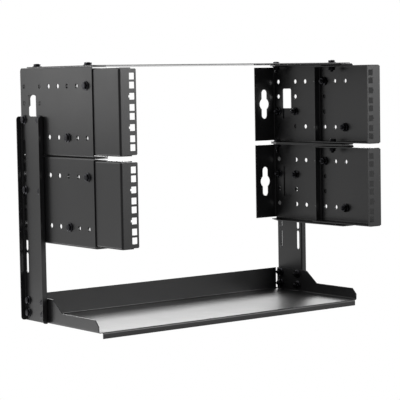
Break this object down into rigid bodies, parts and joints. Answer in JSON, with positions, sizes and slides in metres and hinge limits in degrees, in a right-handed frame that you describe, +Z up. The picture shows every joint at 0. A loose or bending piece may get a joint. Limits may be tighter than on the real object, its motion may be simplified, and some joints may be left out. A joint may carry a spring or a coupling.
{
  "type": "wall mount rack",
  "caption": "Open wall mount equipment rack with nested side brackets, square-hole rails, slotted uprights, a folded shelf and a tie plate.",
  "frame": {"origin": "on the back of the upper left wall flange, on the keyhole's centre line and 38.1 mm under its middle, so that it lies on the wall", "axes": "+X from the left side to the right side of the rack seen from the front, +Y into the wall, +Z up"},
  "size_m": [0.5323, 0.2667, 0.3991],
  "materials": {
    "black_powder_coat": "semi-gloss powder coat"
  },
  "bodies": {
    "root": {"upper_left_rear_bracket": "black_powder_coat", "upper_left_front_rail": "black_powder_coat", "upper_right_rear_bracket": "black_powder_coat", "upper_right_front_rail": "black_powder_coat", "lower_left_rear_bracket": "black_powder_coat", "lower_left_front_rail": "black_powder_coat", "lower_right_rear_bracket": "black_powder_coat", "lower_right_front_rail": "black_powder_coat", "left_upright": "black_powder_coat", "right_upright": "black_powder_coat", "shelf": "black_powder_coat", "top_plate": "black_powder_coat"}
  },
  "joints": []
}
